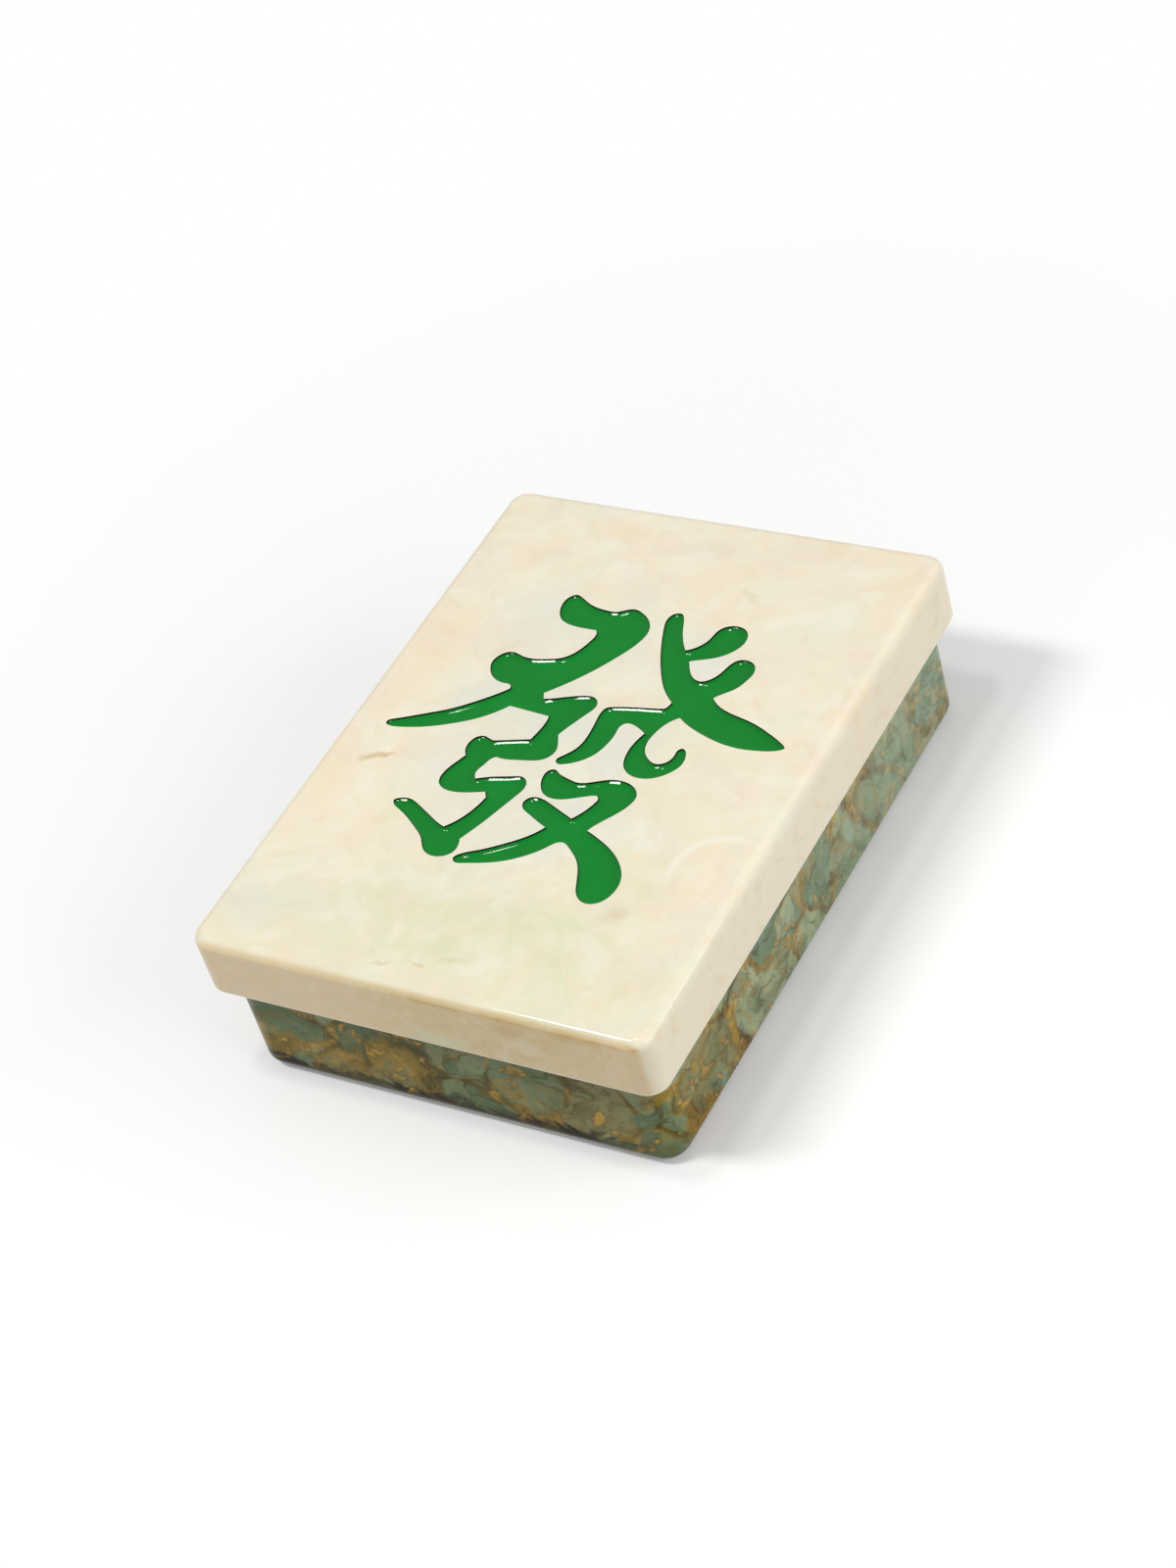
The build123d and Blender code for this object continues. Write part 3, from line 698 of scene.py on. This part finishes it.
def top_outline(node):
    """The closed outline of a CAD node's top face, in order, x and y in millimetres.

    The outline's edges are those that only one triangle of the top face has. Each point is
    followed by the one that its edge leads to.
    """
    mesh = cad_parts[node].data
    corners = np.zeros(len(mesh.vertices) * 3)
    mesh.vertices.foreach_get("co", corners)
    grid = np.round(corners.reshape(-1, 3) / (WELD * MM)).astype(np.int64)
    points, same = np.unique(grid, axis=0, return_inverse=True)
    triangles = np.zeros(len(mesh.polygons) * 3, int)
    mesh.polygons.foreach_get("vertices", triangles)
    triangles = same.reshape(-1)[triangles].reshape(-1, 3)
    top = triangles[(points[triangles][:, :, 2] == points[:, 2].max()).all(axis=1)]
    start, end = top.reshape(-1), np.roll(top, -1, axis=1).reshape(-1)
    alone = ~np.isin(start * len(points) + end, end * len(points) + start)
    follow = dict(zip(start[alone].tolist(), end[alone].tolist()))
    first = next(iter(follow))
    order = list(accumulate(range(len(follow) - 1), lambda here, _: follow[here], initial=first))
    return points[order][:, :2] * WELD


def divided(outline, step):
    """The outline with its longer edges cut into equal parts no longer than the step."""
    edge = np.roll(outline, -1, axis=0) - outline
    parts = np.ceil(np.linalg.norm(edge, axis=1) / step).astype(int)
    index = np.repeat(np.arange(len(outline)), parts)
    part = np.arange(len(index)) - np.repeat(np.cumsum(parts) - parts, parts)
    return outline[index] + edge[index] * (part / parts[index])[:, None]


def rim_distance(points, rim):
    """How far each point is from the nearest edge of the closed rim.

    The nearest place on an edge is the share of it that the point falls on when it is dropped
    square onto the edge's line, kept between 0 and 1.
    """
    edge = np.roll(rim, -1, axis=0) - rim
    found = []
    for some in np.array_split(points, len(points) // BATCH + 1):
        away = some[:, None] - rim
        share = np.clip((away * edge).sum(axis=2) / (edge * edge).sum(axis=1), 0, 1)
        found.append(np.linalg.norm(away - share[..., None] * edge, axis=2).min(axis=1))
    return np.concatenate(found)


def inner_rows(rim):
    """Rows of points that follow the rim inwards, without those that come too near to it.

    A point's way inwards is across the line between its two neighbours, to the left of it.
    """
    along = np.roll(rim, -1, axis=0) - np.roll(rim, 1, axis=0)
    inwards = np.column_stack((-along[:, 1], along[:, 0]))
    inwards = inwards / np.linalg.norm(inwards, axis=1, keepdims=True)
    rows = np.concatenate([rim + inwards * depth for depth in ENAMEL_ROWS])
    wanted = np.repeat(ENAMEL_ROWS, len(rim))
    return rows[rim_distance(rows, rim) > wanted * ROW_SHARE]


def grid_points(rim):
    """Points of a triangular grid, one step apart, that lie further in than the last row.

    A point is inside where a line from it along X crosses the rim an odd number of times.
    """
    low, high = rim.min(axis=0), rim.max(axis=0)
    rows = np.arange(low[1], high[1], ENAMEL_STEP * np.sqrt(3) / 2)
    columns = np.arange(low[0], high[0], ENAMEL_STEP)
    x, y = np.meshgrid(columns, rows)
    x = x + (np.arange(len(rows)) % 2)[:, None] * ENAMEL_STEP / 2
    points = np.column_stack((x.ravel(), y.ravel()))
    start, end = rim, np.roll(rim, -1, axis=0)
    rise = np.where(start[:, 1] == end[:, 1], 1, end[:, 1] - start[:, 1])
    slope = (end[:, 0] - start[:, 0]) / rise
    inside = []
    for some in np.array_split(points, len(points) // BATCH + 1):
        px, py = some[:, :1], some[:, 1:]
        spans = (start[:, 1] > py) != (end[:, 1] > py)
        crossed = spans & (px < start[:, 0] + slope * (py - start[:, 1]))
        inside.append(some[crossed.sum(axis=1) % 2 == 1])
    inside = np.concatenate(inside)
    clear = ENAMEL_ROWS[-1] + ENAMEL_STEP * GRID_CLEARANCE
    return inside[rim_distance(inside, rim) > clear]


def settled(points, triangles, rim_count):
    """How far wet enamel climbs at each point: 1 at the rim, dying away towards the middle.

    On a liquid's surface the climb is the reach squared times its own Laplacian. Here that is
    a sum over the triangles' edges, each weighted by half the cotangents of the angles facing
    it, against a third of the area round each point. Conjugate gradients solve it.
    """
    count = len(points)
    corner = points[triangles]
    first, second, third = corner[:, 0], corner[:, 1], corner[:, 2]
    double = np.cross(second - first, third - first)
    area = np.bincount(triangles.ravel(), np.repeat(double / 6, 3), minlength=count)
    one_side, other_side = (np.roll(corner, -k, axis=1) - corner for k in (1, 2))
    facing = (one_side * other_side).sum(axis=2) / double[:, None] / 2
    start = np.roll(triangles, -1, axis=1).ravel()
    end = np.roll(triangles, -2, axis=1).ravel()
    weight = np.concatenate((facing.ravel(), facing.ravel())) * ENAMEL_REACH ** 2
    here, there = np.concatenate((start, end)), np.concatenate((end, start))
    own = np.bincount(here, weight, minlength=count) + area

    def balance(climb):
        return own * climb - np.bincount(here, weight * climb[there], minlength=count)

    climb = np.zeros(count)
    climb[:rim_count] = 1
    rest = -balance(climb)
    rest[:rim_count] = 0
    step = rest / own
    size = rest @ step
    for _ in range(SETTLING_ROUNDS):
        change = balance(step)
        change[:rim_count] = 0
        share = size / (step @ change)
        climb += share * step
        rest -= share * change
        fresh = rest / own
        before, size = size, rest @ fresh
        if size < SETTLED_ENOUGH:
            break
        step = fresh + size / before * step
    return climb


def enamel_piece(node, material):
    """One island of enamel: a dished face that climbs the pocket's wall, closed below.

    The face rises with a slope that is even over the rim's width and eases off further in. With
    s = minus the reach times the logarithm of the climb, about the distance from the wall, its
    height is slope times softness times log(1 + exp((width - s) / softness)).
    """
    floor_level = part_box(node)[0].z / MM
    rim = divided(top_outline(node), ENAMEL_STEP)
    points = np.concatenate((rim, inner_rows(rim), grid_points(rim)))
    loop = list(range(len(rim)))
    flat = [Vector(point) for point in points.tolist()]
    triangles = np.array(delaunay_2d_cdt(flat, [], [loop], KEEP_INSIDE, MERGE_WITHIN)[2])
    climb = settled(points, triangles, len(rim))
    inwards = -ENAMEL_REACH * np.log(np.clip(climb, TINY, 1))
    rise = RIM_SLOPE * RIM_SOFTNESS * np.log1p(np.exp((RIM_WIDTH - inwards) / RIM_SOFTNESS))
    top = np.column_stack((points, LID_TOP - ENAMEL_DIP + rise))
    bottom = np.column_stack((rim, np.full(len(rim), floor_level)))
    flat = flat[:len(rim)]
    floor = np.array(delaunay_2d_cdt(flat, [], [loop], KEEP_INSIDE, MERGE_WITHIN)[2])
    here = np.arange(len(rim))
    after = np.roll(here, -1)
    wall = np.column_stack((after, here, here + len(points), after + len(points)))
    faces = triangles.tolist() + (floor[:, ::-1] + len(points)).tolist() + wall.tolist()
    smooth = np.arange(len(faces)) < len(triangles)
    vertices = np.concatenate((top, bottom)) * MM
    piece = add_piece(node.replace("green_inlay", "enamel"), vertices, faces, material, "lid",
                      smooth)
    attribute = piece.data.attributes.new("climb", "FLOAT", "POINT")
    values = np.concatenate((climb, np.ones(len(rim))))
    attribute.data.foreach_set("value", values.astype(np.float32))
    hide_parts(node)


# The felts' mesh: its lines near an edge and its spacing, then the edge's share of the
# thickness and the height of the waves in the face
FELT_EDGE = (0.0, 0.05, 0.12, 0.22, 0.36, 0.6, 1.2, 3.0)
FELT_GRID = 5.0
FELT_EDGE_SHARE = 0.45
FELT_WAVE = 0.03

# Each felt's body, the way its face looks, its corner radius and how it is held
FELTS = {
    "base_floor_lining": ("base", (0, 0, 1), 5.5, "laid"),
    "wall_lining_front": ("base", (0, 1, 0), 0.0, "stretched"),
    "wall_lining_back": ("base", (0, -1, 0), 0.0, "stretched"),
    "wall_lining_left": ("base", (1, 0, 0), 0.0, "stretched"),
    "wall_lining_right": ("base", (-1, 0, 0), 0.0, "stretched"),
    "tray_lining_channel": ("tray", (0, 0, 1), 2.0, "laid"),
    "tray_lining_front": ("tray", (0, 0, 1), 2.0, "laid"),
    "tray_lining_back": ("tray", (0, 0, 1), 2.0, "laid"),
    "lid_lining": ("lid", (0, 0, -1), 5.5, "stretched"),
}


def felt_stations(half):
    """Places across a felt: close together near each edge, and even between."""
    inset = np.array(FELT_EDGE)
    inner = half - inset[-1]
    middle = np.linspace(-inner, inner, int(2 * half / FELT_GRID) + 2)
    return np.concatenate((inset[:-1] - half, middle, (half - inset[:-1])[::-1]))


def grid_faces(rows, columns, first=0):
    """The four-cornered faces of a grid of points that are numbered row by row."""
    number = np.arange(rows * columns).reshape(rows, columns) + first
    return np.stack((number[:-1, :-1], number[1:, :-1], number[1:, 1:], number[:-1, 1:]),
                    axis=-1).reshape(-1, 4)


def grid_border(rows, columns):
    """The numbers of a grid's border points, in order round it."""
    number = np.arange(rows * columns).reshape(rows, columns)
    return np.concatenate((number[:-1, 0], number[-1, :-1], number[:0:-1, -1], number[0, :0:-1]))


def felt_piece(node, material):
    """One felt: a soft-edged sheet that fills its CAD node's box, with its back on its seat.

    Over the grid of points p, q the face's height above the seat is the edge's height, plus the
    rest of the thickness times a quarter circle of the distance to the edge, plus faint waves:
    the product of a long sine along each way, and one short sine that runs aslant.
    A square corner is turned into a round one: past the corner's start, the larger of a point's
    two distances becomes its distance from the corner's centre.
    """
    body, facing, corner, held = FELTS[node]
    low, high = (np.array(place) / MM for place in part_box(node))
    facing = np.array(facing, float)
    along = np.array((1.0, 0, 0)) if facing[2] else np.array((0, 0, 1.0))
    aside = np.cross(facing, along)
    half_p, half_q, thickness = (abs((high - low) @ way) / 2 for way in (along, aside, 2 * facing))

    stations_p, stations_q = felt_stations(half_p), felt_stations(half_q)
    p, q = np.meshgrid(stations_p, stations_q, indexing="ij")
    inset = np.minimum(half_p - np.abs(p), half_q - np.abs(q))
    over_p = np.maximum(np.abs(p) - (half_p - corner), 0)
    over_q = np.maximum(np.abs(q) - (half_q - corner), 0)
    shrink = np.maximum(over_p, over_q) / np.maximum(np.hypot(over_p, over_q), TINY)
    p = np.sign(p) * (np.abs(p) - over_p * (1 - shrink))
    q = np.sign(q) * (np.abs(q) - over_q * (1 - shrink))

    round_width = thickness * (1 - FELT_EDGE_SHARE)
    rise = np.sqrt(1 - (1 - np.minimum(inset / round_width, 1)) ** 2)
    waves = np.sin(p / 11 + 0.7) * np.sin(q / 14 + 0.3) + np.sin(p / 5.1 + q / 6.3)
    face = thickness * FELT_EDGE_SHARE + (round_width - 2 * FELT_WAVE + FELT_WAVE * waves) * rise

    middle = (low + high) / 2 - facing * thickness / 2
    flat = middle + p[..., None] * along + q[..., None] * aside
    front = (flat + face[..., None] * facing).reshape(-1, 3)
    back = flat.reshape(-1, 3)
    rows, columns = p.shape
    border = grid_border(rows, columns)
    after = np.roll(border, -1)
    faces = np.concatenate((grid_faces(rows, columns),
                            grid_faces(rows, columns, len(front))[:, ::-1],
                            np.column_stack((after, border, border + len(front),
                                             after + len(front)))))
    piece = add_piece(node.replace("lining", "felt"), np.concatenate((front, back)) * MM,
                      faces.tolist(), material, body)
    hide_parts(node)
    cut = (2 * half_p * MM, 2 * half_q * MM)
    area = cut[0] * cut[1] - (4 - np.pi) * (corner * MM) ** 2


# --- The case -----------------------------------------------------------------------------------

def dress(material, *starts):
    """Gives a finish to every CAD node whose name starts with one of the words."""
    for name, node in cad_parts.items():
        if name.startswith(starts):
            node.data.materials.clear()
            node.data.materials.append(material)


make_camera()
make_floor()
make_world()
for light in LIGHTS:
    area_light(*light)

dress(lid_resin(), "lid_shell")
dress(base_resin(), "base_shell")
dress(acrylic(), "tray_shell", "tray_divider", "well_divider")
dress(rubber(), "foot_", "rim_pad_")

green = enamel()
for island in ("green_inlay_left", "green_inlay_right", "green_inlay_lower"):
    enamel_piece(island, green)
wool = felt()
for lining in FELTS:
    felt_piece(lining, wool)

bpy.context.scene.view_settings.view_transform = "Standard"
